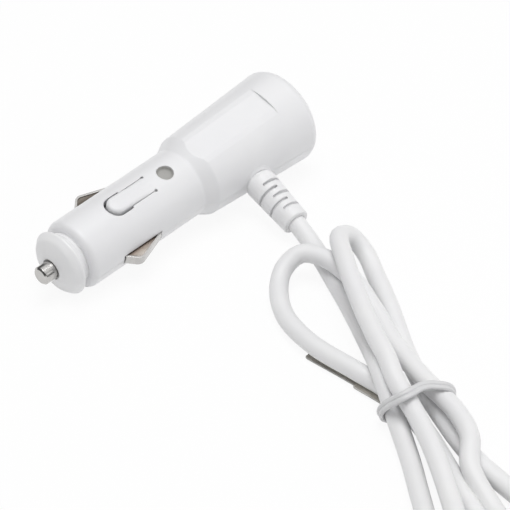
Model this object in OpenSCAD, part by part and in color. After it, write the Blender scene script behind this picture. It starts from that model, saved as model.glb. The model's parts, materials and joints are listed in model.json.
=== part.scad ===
// Vehicle socket plug with a charging lead folded up and tied.
// The plug lies on its side: X runs from the tip to the head and Z is up.
// The plug's own frame has s along its axis from the tip, with the moulded
// panel on top and the lead leaving on the -Y side.

/* [Plug body] */
// How far the tip pin stands out of the nose cap
pin_proud = 4.1; // [3.8:0.1:4.4]
// Radius of the tip pin
pin_r = 2.75; // [2.5:0.05:2.85]
// Length of the nose cap in front of the barrel
cap_len = 7; // [6.7:0.1:7.3]
// Radius of the nose cap's rim
cap_rim_r = 9.9; // [9.4:0.1:10.2]
// Radius of the nose cap's shallow front cone
cap_face_r = 8.3; // [7.4:0.1:8.7]
// Depth of the shallow front cone
cap_face_depth = 1.8; // [1.2:0.1:2]
// Depth of the nose cap's rim behind its front
cap_cone = 3.7; // [3.4:0.1:4]
// Radius of the nose cap where it meets the barrel
cap_neck_r = 7.75; // [7.4:0.05:8.2]
// Radius of the nose cap's threaded spigot
spigot_r = 6.5; // [6:0.1:6.8]
// Length of the spigot inside the barrel
spigot_len = 7.4; // [6:0.1:8]
// Radius of the barrel that enters the socket
barrel_r = 10.45; // [10.3:0.05:10.6]
// Length of the barrel
barrel_len = 42.8; // [42:0.1:44]
// Rounding of the barrel's front edge
front_round = 2; // [1:0.1:2.4]
// Length of the sloped shoulder between barrel and head
shoulder_len = 3.8; // [3:0.1:5]
// Length of the head
head_len = 38.9; // [38:0.1:42]
// Radius of the head at the shoulder
head_front_r = 12.5; // [12.2:0.1:13]
// Radius of the head at its rear
head_rear_r = 14.5; // [14:0.1:15.5]
// Rounding of the head's rear edge
end_round = 3; // [2:0.1:3.6]
// Wall of the two shells
wall = 1.9; // [1.6:0.1:2]
// Wall across the head's rear end
end_wall = 2; // [1.6:0.1:3]
// Turn of the plug about its axis, towards the lead
roll = 14.5; // [5:0.5:20]

/* [Top of the plug] */
// Width of the spring tongue
tongue_w = 5.6; // [5:0.1:6]
// Width of the open slot round the tongue's free end
tongue_gap = 0.7; // [0.5:0.1:1]
// Width of the two narrow slots beside the tongue
side_slot = 0.2; // [0.2:0.05:0.5]
// Diameter of the round end of each narrow slot
slot_dot_d = 0.9; // [0.6:0.1:1.4]
// From the barrel's front face to the tongue
tongue_s = 13.4; // [13:0.1:14.5]
// Length of the wide slot beside the tongue
pad_len = 6.5; // [5:0.1:7]
// Height of the tongue's free end above the barrel
pad_h = 1; // [0.6:0.1:1.2]
// Length of the tongue
tongue_len = 15.5; // [13:0.1:16]
// From the barrel's front face to the lamp window
lamp_s = 35.1; // [34:0.1:36]
// Diameter of the hole over the lamp window
lamp_hole_d = 5; // [4.4:0.1:5.4]
// Depth of the lamp window below the barrel's surface
lamp_recess = 1.4; // [0.6:0.1:1.5]
// Half of the flat panel's width
panel_half_w = 3.8; // [3:0.1:4.6]
// Length of the flat panel along the head
panel_len = 27.8; // [24:0.1:30]
// Depth of the flat panel at the shoulder
panel_front_depth = 0.8; // [0.6:0.1:1]
// Depth of the flat panel at its rear step
panel_rear_depth = 0.7; // [0.6:0.1:1.1]
// Fall of the bevels beside the panel, in degrees
panel_bevel = 15; // [11:1:18]

/* [Side contacts] */
// From the barrel's front face to a contact's highest point
contact_peak_s = 15; // [14:0.1:16]
// Height of a contact above the barrel
contact_proud = 3.1; // [2.6:0.1:3.3]
// Distance from a contact's highest point to its pivot
contact_reach = 9.1; // [8.6:0.1:9.6]
// Width of a contact
contact_w = 3; // [2.4:0.1:3.4]
// Thickness of a contact's metal
contact_t = 0.6; // [0.4:0.05:0.7]
// Radius of the pins that a contact swings on
pivot_r = 0.8; // [0.7:0.05:0.9]

/* [Lead and strain relief] */
// From the head's front edge to the strain relief
relief_s = 16.3; // [15:0.1:18]
// Lean of the strain relief towards the tip, in degrees
relief_lean = 7.5; // [0:0.5:10]
// Distance from the plug's axis to the strain relief's mouth
relief_reach = 31.5; // [30:0.1:33]
// Radius of the strain relief at the head
relief_root_r = 4.75; // [4.5:0.05:5]
// Radius of the strain relief at its mouth
relief_mouth_r = 4.25; // [3.9:0.05:4.4]
// Number of slots round the strain relief
relief_slots = 5; // [3:1:5]
// Distance between two slots
relief_pitch = 2.4; // [2.2:0.1:2.6]
// Width of a slot
relief_slot_w = 0.9; // [0.7:0.1:1.2]
// Length of the plain collar at the mouth
relief_collar = 3.5; // [3:0.1:4.4]
// Diameter of the lead
cord_d = 5.4; // [5:0.1:5.4]
// Height of the folded lead where five runs pass the tie
hank_h = 10.8; // [10:0.1:11]
// Width of the tie round the folded lead
tie_w = 4.4; // [3.6:0.1:6]
// Thickness of the tie
tie_t = 0.6; // [0.4:0.1:0.6]

/* [Fuse and tip] */
// Radius of the fuse's end caps
fuse_r = 3.175; // [3:0.025:3.25]
// Length of the fuse
fuse_len = 30; // [29:0.5:31]
// Length of the spring behind the fuse
spring_len = 10; // [9:0.5:11]
// Radius of the spring's wire
spring_wire_r = 0.35; // [0.25:0.05:0.4]
// Thickness of the flange behind the tip pin
flange_t = 1.5; // [1.2:0.1:1.8]
// Width of the sunk ring round the tip pin
pin_ring_w = 0.4; // [0.3:0.1:0.8]
// Depth of the sunk ring round the tip pin
pin_ring_depth = 0.5; // [0.4:0.1:1]

/* [Circuit board and port] */
// Width of the circuit board
board_w = 14; // [13:0.1:14]
// Thickness of the circuit board
board_t = 1.6; // [1:0.1:1.6]
// Width of the port's metal shell
port_w = 13.1; // [12.8:0.1:13.4]
// Height of the port's metal shell
port_h = 5.7; // [5.5:0.1:6]
// Length of the port's metal shell
port_len = 14; // [12:0.1:15]

/* [Hidden] */

// Stations along the plug, measured from the tip
barrel_s = pin_proud + cap_len;
shoulder_s = barrel_s + barrel_len;
head_s = shoulder_s + shoulder_len;
end_s = head_s + head_len;
head_slope = atan((head_rear_r - head_front_r) / (head_len - end_round));

// The plug lies on the barrel's front edge and the head's rear edge
front_s = barrel_s + front_round;
rear_s = end_s - end_round;
tilt = atan((head_rear_r - barrel_r) / (rear_s - front_s));
axis_z = barrel_r * cos(tilt) - front_s * sin(tilt);
pin_edge = 0.5;
row_min_x = -(pin_r - pin_edge) * sin(tilt);
row_max_x = rear_s * cos(tilt) + (head_rear_r - end_round) * sin(tilt) + end_round;
row_shift = -(row_min_x + row_max_x) / 2;

// Clearances
run_gap = 0.05;
fit_gap = 0.1;
move_gap = 0.35;
over = 1;

// Inside of the shells
inner_r = barrel_r - wall;
collar_len = spigot_len + 0.5;
tongue_crown = 0.3;
tongue_round = 0.9;
web_t = 1.2;
web_half_w = 5.2;
web_sink = 0.6;
cap_wall = 1.9;
cap_face_round = 2;
cap_rim_round = 0.5;
cap_s = pin_proud + cap_wall;
fuse_s = cap_s + flange_t;
fuse_end_s = fuse_s + fuse_len;
seat_s = fuse_end_s + spring_len;
seat_t = 0.5;
seat_web_s = seat_s + seat_t;
fuse_cap_len = 6;
fuse_cap_t = 0.6;
glass_r = 2.85;
glass_bore_r = 2.3;
well_r = fuse_r + 0.5;
flange_r = 3.45;

board_top = -port_h / 2;
board_s = seat_web_s + web_t + 0.3;
board_end = end_s - end_wall - 1;
post_len = 1.4;

peak_s = barrel_s + contact_peak_s;
pivot_s = peak_s + contact_reach;
pivot_y = barrel_r - 1.4;
eye_r = 1.3;
leaf_gap = 0.15;
leaf_tail = 1;
knee_round = 2.2;
contact_slot_w = contact_w + 2 * leaf_gap;
slot_front_s = peak_s - 3.9;
slot_rear_s = pivot_s + eye_r + leaf_gap;

relief_bore_r = cord_d / 2 + run_gap;
relief_flange_r = relief_root_r + 0.85;
relief_flange_t = 1.5;
relief_flange_x = 8.2;
relief_step = 1.1;
relief_neck_r = relief_root_r - relief_step;
relief_skin = 0.7;
relief_round = 2.2;
relief_turn = 10;
relief_x = head_s + relief_s;
head_r_at_relief = head_front_r + relief_s * tan(head_slope);
relief_seat = head_r_at_relief - 0.4;

lamp_x = barrel_s + lamp_s;
window_top = barrel_r - lamp_recess;
window_flange_z = sqrt(pow(inner_r, 2) - pow(lamp_hole_d / 2 + 0.5, 2)) - 0.05;

// Route of the lead, in millimetres from the plug's centre on the table
LEAD = [[24.4, -8.2, 11.3], [23.1, -19.2, 8.4], [21.7, -30.2, 5.5], [19, -40.5, 3], [12.8, -54, 2.7],
        [6, -67.5, 2.7], [-1.5, -80, 4.2], [-10.4, -92.2, 8.3], [-17, -103.6, 4.2]];
LEFT_LOOP = [[-11, -101, 2.9], [-10, -96, 2.9], [-10.5, -83.5, 3.3], [-11, -68, 3.3], [-7, -53.5, 2.7],
             [0.5, -44, 3.5], [5.5, -41.5, 5.5], [10.5, -42.5, 7.8], [13.5, -48, 8.2], [13.5, -59, 7.2],
             [8.5, -72.5, 6.5], [1.5, -86, 7.3], [-4, -101, 8.2], [-8, -116.5, 8.5]];
RIGHT_LOOP = [[-4, -104, 2.7], [-1.5, -99, 2.7], [6, -86, 2.7], [14.5, -73.5, 2.7], [22.5, -60.5, 2.7],
              [26.5, -52.5, 4.5], [25.5, -48, 8.5], [20, -48.5, 12], [12.5, -57.5, 13.3], [4, -70.5, 12.5],
              [-4.5, -84.5, 12.8], [-8.8, -92.8, 12.7], [-12.3, -99.3, 11]];
TAIL = [[-50, -154.5, 8.5], [-59, -161.5, 5.8], [-67, -166, 2.7], [-73.5, -168, 2.7], [-79.5, -166.5, 2.7],
        [-84, -162, 2.7], [-85.5, -156, 2.7], [-85.5, -148, 2.7]];

// Outline of the folded lead seen from above, and of its upper layer
HANK_OUTLINE = [[-15, -94.5], [1, -104.5], [-5.5, -114], [-10, -126], [-12.7, -141], [-14.2, -156],
                [-14.8, -171], [-18.3, -184.2], [-39.3, -184.2], [-41.2, -179.5], [-62.2, -179.5],
                [-58.8, -166], [-52.5, -152], [-46, -138], [-37, -123], [-21, -103]];
HANK_TOP = [[-15, -94.5], [1, -104.5], [-5.5, -114], [-12, -129], [-19, -136], [-30, -141],
            [-50, -150], [-58, -163], [-52.5, -152], [-46, -138], [-37, -123], [-21, -103]];
fold_r = 10.5;
left_fold = [-51.7, -179.5];
right_fold = [-28.8, -184.2];
tie_at = [-10.6, -106.2];
tie_turn = -32.8;
cord_sides = 8;

function unit(v) = v / norm(v);
function arc(c, r, from, to, n = 6) =
    [for (i = [0:n]) c + r * [cos(from + (to - from) * i / n), sin(from + (to - from) * i / n)]];

// Points of the arc that rounds corner b between a and c
function rounded(a, b, c, r, n = 5) =
    let (u = unit(a - b),
         v = unit(c - b),
         half = acos(u * v) / 2,
         m = b + unit(u + v) * r / sin(half),
         p = b + u * r / tan(half) - m,
         q = b + v * r / tan(half) - m,
         from = atan2(p.y, p.x),
         turn = atan2(p.x * q.y - p.y * q.x, p * q))
    arc(m, r, from, from + turn, n);

// Both sides of a bent strip of thickness t that follows a path
function side_of(path, i) =
    let (d = unit(path[min(i + 1, len(path) - 1)] - path[max(i - 1, 0)])) [-d.y, d.x];
function strip(path, t) =
    concat([for (i = [0:len(path) - 1]) path[i] + side_of(path, i) * t / 2],
           [for (i = [len(path) - 1:-1:0]) path[i] - side_of(path, i) * t / 2]);

// Faces of a tube made of m rings with n points each
function tube_faces(m, n) =
    concat([[for (k = [n - 1:-1:0]) k]],
           [for (i = [0:m - 2]) for (k = [0:n - 1])
               [i * n + k, i * n + (k + 1) % n, (i + 1) * n + (k + 1) % n, (i + 1) * n + k]],
           [[for (k = [0:n - 1]) (m - 1) * n + k]]);

// Round tube along a path that never climbs steeply
module tube(path, r, n) {
    last = len(path) - 1;
    points = [for (i = [0:last])
        let (t = unit(path[min(i + 1, last)] - path[max(i - 1, 0)]),
             side = unit(cross(t, [0, 0, 1])),
             up = cross(side, t))
        for (k = [0:n - 1]) path[i] + r * (cos(360 * k / n) * side + sin(360 * k / n) * up)];
    polyhedron(points, tube_faces(last + 1, n), convexity = 6);
}

// Coil spring along X
module coil(from, to, mean_r, wire_r, turns, n = 6, steps = 12) {
    m = turns * steps;
    points = [for (i = [0:m])
        let (a = 360 * i / steps,
             u = [0, cos(a), sin(a)],
             c = [from + wire_r + (to - from - 2 * wire_r) * i / m, 0, 0] + mean_r * u)
        for (k = [0:n - 1]) c + wire_r * (cos(360 * k / n) * u + sin(360 * k / n) * [1, 0, 0])];
    polyhedron(points, tube_faces(m + 1, n), convexity = 10);
}

// Puts the plug's own frame on the table
module laid() {
    translate([row_shift, 0, axis_z])
        rotate([0, -tilt, 0])
            rotate([roll, 0, 0])
                children();
}

// Turns a profile of [radius, s] points about the plug's axis
module turned(points) {
    rotate([0, 90, 0])
        rotate_extrude($fn = 96)
            polygon(points);
}

// Rod of radius r along the plug's axis
module rod(from, to, r) {
    translate([from, 0, 0])
        rotate([0, 90, 0])
            cylinder(h = to - from, r = r, $fn = 64);
}

// Box from s0 to s1, centred across at y
module bar(s0, s1, y, width, z0, z1) {
    translate([s0, y - width / 2, z0])
        cube([s1 - s0, width, z1 - z0]);
}

// Extrudes a [y, z] outline along the plug's axis
module along(from, to) {
    translate([from, 0, 0])
        rotate([90, 0, 90])
            linear_extrude(to - from)
                children();
}

// Outer form of barrel, shoulder and head
module housing_outside() {
    a = [barrel_r, front_s];
    b = [barrel_r, shoulder_s];
    c = [head_front_r, head_s];
    d = [head_rear_r, rear_s];
    turned(concat([[0, barrel_s]],
                  arc([barrel_r - front_round, front_s], front_round, -90, 0),
                  rounded(a, b, c, 1.2),
                  rounded(b, c, d, 1.6),
                  arc([head_rear_r - end_round, rear_s], end_round, 0, 90, 8),
                  [[0, end_s]]));
}

// Space inside the housing
module housing_inside() {
    turned([[0, barrel_s - over], [spigot_r + fit_gap, barrel_s - over],
            [spigot_r + fit_gap, barrel_s + collar_len], [inner_r, barrel_s + collar_len],
            [inner_r, shoulder_s], [head_front_r - wall, head_s],
            [head_rear_r - wall, end_s - end_wall], [0, end_s - end_wall]]);
}

// Openings that the parting plane cuts through
module side_openings() {
    for (side = [-1, 1])
        bar(slot_front_s, slot_rear_s, side * barrel_r, 2 * (barrel_r - inner_r + over),
            -contact_slot_w / 2, contact_slot_w / 2);
    relief_frame() {
        rod(relief_flange_x, relief_reach, relief_neck_r + fit_gap);
        rod(relief_seat, relief_reach, relief_root_r + fit_gap);
    }
    bar(end_s - end_wall - over, end_s + over, 0, port_w + 4 * fit_gap,
        -port_h / 2 - 2 * fit_gap, port_h / 2 + 2 * fit_gap);
}

// Pins that the side contacts swing on
module pivot_pins() {
    for (side = [-1, 1])
        translate([pivot_s, side * pivot_y, -contact_slot_w / 2 - web_sink])
            cylinder(h = contact_slot_w + 2 * web_sink, r = pivot_r, $fn = 32);
}

// Cross wall inside the barrel, open under the tongue and round the fuse
module web(s, bore_r, notch_z) {
    difference() {
        intersection() {
            rod(s, s + web_t, inner_r + web_sink);
            bar(s, s + web_t, 0, 2 * web_half_w, -barrel_r, barrel_r);
        }
        if (bore_r > 0)
            rod(s - over, s + web_t + over, bore_r);
        bar(s - over, s + web_t + over, 0, tongue_w + 2 * tongue_gap + 2 * move_gap, notch_z, barrel_r);
    }
}

module webs() {
    web(barrel_s + tongue_s + 2, well_r, well_r + 1);
    web(fuse_end_s - fuse_cap_len + 1, well_r, well_r + 1);
    difference() {
        web(seat_web_s, 0, well_r + 0.2);
        bar(seat_web_s - over, seat_web_s + web_t + over, 0, 2.2, board_top - 0.3, board_top + 0.7);
    }
}

// Frame of the strain relief: X runs out of the housing
module relief_frame() {
    translate([relief_x, 0, 0])
        rotate([0, 0, -90 - relief_lean])
            children();
}

// Open slots that free the tongue from the barrel
module tongue_slots() {
    front = barrel_s + tongue_s;
    root = front + tongue_len;
    half = tongue_w / 2;
    wide = half + tongue_gap;
    pad_end = front + pad_len;
    translate([0, 0, inner_r - over])
        linear_extrude(barrel_r) {
            difference() {
                union() {
                    translate([front + half, 0])
                        circle(r = wide, $fn = 48);
                    translate([front + half, -wide])
                        square([pad_end - front - half, 2 * wide]);
                }
                translate([front + half, 0])
                    circle(r = half, $fn = 48);
                translate([front + half, -half])
                    square([tongue_len, tongue_w]);
            }
            for (side = [-1, 1]) {
                translate([pad_end - over / 2, side * (half + side_slot / 2) - side_slot / 2])
                    square([root - pad_end + over / 2, side_slot]);
                translate([root, side * (half + side_slot / 2)])
                    circle(d = slot_dot_d, $fn = 24);
            }
        }
}

// Crowned top of the tongue, which falls from its free end to its root
module tongue_pad() {
    front = barrel_s + tongue_s;
    half = tongue_w / 2;
    reach = tongue_len - half;
    top = pad_h + wall;
    crown = concat([[0, top]], rounded([0, top], [half, top - tongue_crown], [half, 0], tongue_round),
                   [[half, 0]]);
    intersection() {
        translate([front + half, 0, inner_r])
            rotate([0, atan(pad_h / reach), 0]) {
                rotate_extrude($fn = 64)
                    polygon(concat([[0, 0]], crown));
                along(0, reach + half)
                    polygon(concat([for (p = crown) [-p.x, p.y]], [for (i = [len(crown) - 1:-1:1]) crown[i]]));
            }
        translate([0, 0, inner_r])
            linear_extrude(barrel_r) {
                translate([front + half, 0])
                    circle(r = half, $fn = 48);
                translate([front + half, -half])
                    square([reach, tongue_w]);
            }
    }
}

// Flat panel cut across the head, with a bevel falling away on each side
module panel_cut() {
    spread = 6;
    fall = spread * tan(panel_bevel);
    drop = (panel_rear_depth - panel_front_depth) / panel_len;
    translate([head_s, 0, head_front_r - panel_front_depth])
        rotate([0, -(head_slope - atan(drop)), 0])
            along(-shoulder_len - over, panel_len)
                polygon([[-panel_half_w, 0], [panel_half_w, 0], [panel_half_w + spread, -fall],
                         [panel_half_w + spread, head_rear_r], [-panel_half_w - spread, head_rear_r],
                         [-panel_half_w - spread, -fall]]);
}

module housing() {
    difference() {
        union() {
            difference() {
                housing_outside();
                housing_inside();
            }
            webs();
        }
        side_openings();
    }
    pivot_pins();
}

module half_space(up) {
    translate([-over, -2 * head_rear_r, up ? 0 : -4 * head_rear_r])
        cube([end_s + 4 * over, 4 * head_rear_r, 4 * head_rear_r]);
}

module upper_shell() {
    color("gainsboro") laid() {
        difference() {
            intersection() {
                housing();
                half_space(true);
            }
            tongue_slots();
            panel_cut();
            translate([lamp_x, 0, inner_r - over])
                cylinder(h = barrel_r, d = lamp_hole_d, $fn = 48);
        }
        tongue_pad();
    }
}

module lower_shell() {
    color("gainsboro") laid() {
        intersection() {
            housing();
            half_space(false);
        }
        for (s = [board_s + 9, board_end - 8])
            intersection() {
                bar(s, s + post_len, 0, board_w, -head_rear_r, board_top - board_t);
                turned([[0, head_s], [head_front_r - wall / 2, head_s], [head_rear_r - wall / 2, rear_s],
                        [0, rear_s]]);
            }
    }
}

module nose_cap() {
    rim_s = pin_proud + cap_cone;
    bore_r = fuse_r + 0.6;
    ring_s = pin_proud + pin_ring_depth;
    mouth = [pin_r + pin_ring_w, pin_proud];
    face = [cap_face_r, pin_proud + cap_face_depth];
    rim = [cap_rim_r, rim_s];
    back = [cap_neck_r, barrel_s - 1];
    color("lightgray") laid()
        turned(concat([[pin_r + run_gap, ring_s], [pin_r + pin_ring_w, ring_s], mouth],
                      rounded(mouth, face, rim, cap_face_round),
                      rounded(face, rim, back, cap_rim_round),
                      [back, [cap_neck_r, barrel_s], [spigot_r, barrel_s],
                       [spigot_r, barrel_s + spigot_len], [bore_r, barrel_s + spigot_len],
                       [bore_r, cap_s], [pin_r + run_gap, cap_s]]));
}

module tip_contact() {
    color("silver") laid()
        turned([[0, 0], [pin_r - pin_edge, 0], [pin_r, pin_edge], [pin_r, cap_s], [flange_r, cap_s],
                [flange_r, fuse_s], [0, fuse_s]]);
}

module fuse_glass() {
    color("lightblue", 0.5) laid()
        difference() {
            rod(fuse_s + fuse_cap_t, fuse_end_s - fuse_cap_t, glass_r);
            rod(fuse_s, fuse_end_s, glass_bore_r);
        }
}

module fuse_caps() {
    color("silver") laid()
        for (end = [0, 1]) {
            outer = end * fuse_len;
            mouth = end == 0 ? fuse_cap_t : fuse_len - fuse_cap_len;
            difference() {
                rod(fuse_s + (end == 0 ? 0 : fuse_len - fuse_cap_len),
                    fuse_s + (end == 0 ? fuse_cap_len : outer), fuse_r);
                rod(fuse_s + mouth - (end == 0 ? 0 : over),
                    fuse_s + mouth + fuse_cap_len - fuse_cap_t + (end == 0 ? over : 0), glass_r + run_gap);
            }
        }
}

module fuse_wire() {
    color("darkgray") laid()
        rod(fuse_s + fuse_cap_t, fuse_end_s - fuse_cap_t, 0.2);
}

module tip_spring() {
    color("silver") laid()
        coil(fuse_end_s, seat_s, 2.2, spring_wire_r, 7);
}

module spring_contact() {
    color("silver") laid() {
        rod(seat_s, seat_web_s, well_r - 0.4);
        bar(seat_s, board_s + 1.5, 0, 1.6, board_top, board_top + 0.4);
    }
}

// Bent leaf that presses outwards against the socket's wall
module ground_contact(side) {
    half = contact_t / 2;
    top = barrel_r + contact_proud - half;
    tail = [pivot_s + leaf_tail, barrel_r - 0.15];
    knee = [peak_s - 0.1, top + 0.35];
    foot = [peak_s - 3.1, barrel_r];
    path = concat([tail], rounded(tail, knee, foot, knee_round, 8),
                  [foot, [peak_s - 3.4, inner_r + 0.6], [peak_s - 3.6, inner_r - 0.5],
                   [peak_s - 4.4, inner_r - 0.9]]);
    color("silver") laid()
        mirror([0, side < 0 ? 1 : 0, 0])
            difference() {
                union() {
                    translate([0, 0, -contact_w / 2])
                        linear_extrude(contact_w)
                            polygon(strip(path, contact_t));
                    translate([pivot_s, pivot_y, -contact_w / 2])
                        cylinder(h = contact_w, r = eye_r, $fn = 48);
                }
                translate([pivot_s, pivot_y, -contact_w])
                    cylinder(h = 2 * contact_w, r = pivot_r + run_gap, $fn = 48);
            }
}

module ground_contact_far_side() {
    ground_contact(1);
}

module ground_contact_cord_side() {
    ground_contact(-1);
}

// Two strips that lead from the contacts' pivots to the board
module ground_straps() {
    strap_t = 0.4;
    y = pivot_y - eye_r - 0.45 - strap_t / 2;
    foot = 2.2;
    color("silver") laid()
        for (side = [-1, 1]) {
            bar(pivot_s - 1, board_s + foot, side * y, strap_t, -contact_w * 0.4, contact_w * 0.4);
            bar(board_s + 0.6, board_s + foot, side * y, strap_t, board_top, contact_w * 0.4);
        }
}

module circuit_board() {
    color("darkgreen") laid()
        bar(board_s, board_end, 0, board_w, board_top - board_t, board_top);
}

// Drum core choke with its winding between two flanges
module inductor() {
    r = 3.3;
    waist_r = 2.7;
    h = 4.5;
    flange_h = 0.8;
    color("dimgray") laid()
        translate([head_s + 6, 3, board_top])
            rotate_extrude($fn = 48)
                polygon([[0, 0], [r, 0], [r, flange_h], [waist_r, flange_h], [waist_r, h - flange_h],
                         [r, h - flange_h], [r, h], [0, h]]);
}

// Can capacitor with its crimped groove near the board
module can_capacitor(s, y, h) {
    r = 3.15;
    groove = 0.25;
    translate([s, y, board_top])
        rotate_extrude($fn = 48)
            polygon([[0, 0], [r, 0], [r, 1], [r - groove, 1.3], [r, 1.6], [r, h - 0.4], [r - 0.4, h], [0, h]]);
}

module input_capacitor() {
    color("darkslategray") laid()
        can_capacitor(head_s + 2.5, -3.4, 7.5);
}

module output_capacitor() {
    color("darkslategray") laid()
        can_capacitor(head_s + 14.5, 3.4, 7);
}

// Eight-legged driver
module driver_chip() {
    body = [4.9, 3.9, 1.4];
    lift = 0.15;
    leg_w = 0.4;
    color("black") laid()
        translate([head_s + 10, -3, board_top]) {
            translate([-body.x / 2, -body.y / 2, lift])
                cube(body);
            for (i = [0:3])
                for (side = [-1, 1])
                    translate([(i - 1.5) * 1.27 - leg_w / 2, side * (body.y / 2 + 0.45) - 0.5, 0])
                        cube([leg_w, 1, 0.3]);
        }
}

// Lamp with two leads bent back to the board
module indicator_lamp() {
    dome_r = 1.5;
    base_z = well_r + 0.35;
    top_z = window_flange_z - 0.6 - 0.3;
    lead_w = 0.5;
    lead_s = board_s + 1;
    color("whitesmoke") laid() {
        translate([lamp_x, 0, base_z]) {
            cylinder(h = 0.8, r = 1.9, $fn = 32);
            cylinder(h = top_z - dome_r - base_z, r = dome_r, $fn = 32);
            translate([0, 0, top_z - dome_r - base_z])
                sphere(r = dome_r, $fn = 32);
        }
        for (side = [-1, 1]) {
            bar(lamp_x, lead_s + lead_w, side * 1.27, lead_w, base_z, base_z + lead_w);
            bar(lead_s, lead_s + lead_w, side * 1.27, lead_w, board_top, base_z + lead_w);
        }
    }
}

module lamp_window() {
    color("gray") laid()
        translate([lamp_x, 0, 0]) {
            translate([0, 0, window_flange_z])
                cylinder(h = window_top - window_flange_z, r = lamp_hole_d / 2 - run_gap, $fn = 48);
            translate([0, 0, window_flange_z - 0.6])
                cylinder(h = 0.6, r = lamp_hole_d / 2 + 0.5, $fn = 48);
        }
}

port_s = end_s - 0.2 - port_len;
port_t = 0.3;
tongue_z = 0.6;
port_tongue_t = 1.8;
port_tongue_w = 11.1;
port_block = 3.6;
pin_w = 1;
pin_t = 0.25;
pin_at = [-3.5, -1, 1, 3.5];

module port_shell() {
    color("silver") laid()
        difference() {
            bar(port_s, port_s + port_len, 0, port_w, -port_h / 2, port_h / 2);
            bar(port_s - over, port_s + port_len + over, 0, port_w - 2 * port_t, -port_h / 2 + port_t,
                port_h / 2 - port_t);
        }
}

module port_insulator() {
    color("black") laid()
        difference() {
            union() {
                bar(port_s, port_s + port_block, 0, port_w - 2 * port_t, -port_h / 2 + port_t,
                    port_h / 2 - port_t);
                bar(port_s, port_s + port_len - 1, 0, port_tongue_w, tongue_z, tongue_z + port_tongue_t);
            }
            for (y = pin_at)
                bar(port_s - over, port_s + port_block + over / 2, y, pin_w, tongue_z - pin_t, tongue_z);
        }
}

module port_contacts() {
    color("gold") laid()
        for (y = pin_at) {
            bar(port_s - 2 * pin_t, port_s + port_len - 1.6, y, pin_w, tongue_z - pin_t, tongue_z);
            bar(port_s - 2 * pin_t, port_s, y, pin_w, board_top, tongue_z);
        }
}

// Two insulated wires from the lead's end to the board
module cord_wires() {
    start = relief_flange_x - 0.2;
    color("firebrick") laid()
        for (i = [-1, 1])
            tube([[relief_x - 1 + i, -start, 0.3], [relief_x - 1 + i, -start + 1, 0.1],
                  [relief_x - 0.8 + i, -start + 1.9, -0.8],
                  [relief_x - 0.6 + i, -start + 2.6, board_top + 0.7]], 0.6, 6);
}

// Slotted sleeve that lets the lead bend near the housing
module strain_relief() {
    slot_edge = 1.2;
    root = [relief_root_r - relief_round, relief_seat + relief_round];
    from = -acos((relief_neck_r - root.x) / relief_round);
    b = [relief_mouth_r, relief_reach - relief_collar];
    c = [relief_mouth_r - 0.1, relief_reach];
    inside = [relief_bore_r, relief_reach];
    color("white") laid()
        relief_frame() {
            difference() {
                turned(concat([[relief_bore_r, relief_flange_x], [relief_flange_r, relief_flange_x],
                               [relief_flange_r, relief_flange_x + relief_flange_t],
                               [relief_neck_r, relief_flange_x + relief_flange_t]],
                              arc(root, relief_round, from, 0, 8), [b],
                              rounded(b, c, inside, 0.6), [inside]));
                difference() {
                    rotate([relief_turn, 0, 0])
                        for (i = [0:relief_slots - 1]) {
                            x = relief_reach - relief_collar - relief_slot_w / 2 - i * relief_pitch;
                            side = i % 2 == 0 ? 1 : -1;
                            translate([x, 0, -relief_root_r - over])
                                linear_extrude(2 * (relief_root_r + over)) {
                                    translate([0, -side * slot_edge])
                                        circle(d = relief_slot_w, $fn = 24);
                                    translate([-relief_slot_w / 2, side > 0 ? -slot_edge : -2 * relief_root_r])
                                        square([relief_slot_w, 2 * relief_root_r + slot_edge]);
                                }
                        }
                    rod(0, relief_reach, relief_bore_r + relief_skin);
                }
            }
        }
}

module cord_lead() {
    color("white")
        tube(LEAD, cord_d / 2, cord_sides);
}

module cord_left_loop() {
    color("white")
        tube(LEFT_LOOP, cord_d / 2, cord_sides);
}

module cord_right_loop() {
    color("white")
        tube(RIGHT_LOOP, cord_d / 2, cord_sides);
}

module cord_tail() {
    color("white")
        tube(TAIL, cord_d / 2, cord_sides);
}

// Places things at the tie, with X across the folded lead
module tie_frame() {
    translate(tie_at)
        rotate([0, 0, tie_turn])
            children();
}

// The folded lead below and inside the tie, as one body
module cord_hank() {
    color("white")
        difference() {
            union() {
                linear_extrude(cord_d) {
                    polygon(HANK_OUTLINE);
                    translate(left_fold)
                        circle(r = fold_r, $fn = 48);
                    translate(right_fold)
                        circle(r = fold_r, $fn = 48);
                }
                linear_extrude(hank_h)
                    polygon(HANK_TOP);
            }
            tie_frame()
                tie_band(tie_t + 2 * fit_gap, tie_w / 2 + fit_gap, -over, tie_t + fit_gap);
        }
}

// Plain slab across the hank, used to seat the tie
module tie_band(side_gap, half_w, z0, z1) {
    translate([-2 * fold_r - side_gap, -half_w, z0])
        cube([4 * fold_r + 2 * side_gap, 2 * half_w, z1 - z0]);
}

// Flat tie wound round the lead, with its two loose ends under the left loop
module cord_tie() {
    left = 10.6;
    right = 10.4;
    h = hank_h + 2 * (tie_t + fit_gap);
    color("darkgray") {
        tie_frame()
            rotate([90, 0, 0])
                translate([0, 0, -tie_w / 2])
                    linear_extrude(tie_w)
                        difference() {
                            translate([-left - tie_t, 0])
                                square([left + right + 2 * tie_t, h]);
                            translate([-left, tie_t])
                                square([left + right, h - 2 * tie_t]);
                        }
        translate([-15.2, -85.2, 0])
            rotate([0, 0, -5.7])
                cube([3.2, 18, tie_t]);
        translate([-15.4, -93.5, 0])
            rotate([0, 0, -2])
                cube([4, 7.6, tie_t]);
    }
}

plug_end = TAIL[len(TAIL) - 1];
grip_len = 21;
grip_w = 11.5;
grip_h = 6.4;
nose_len = 6.6;
nose_w = 8.3;
nose_h = 2.5;

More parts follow.
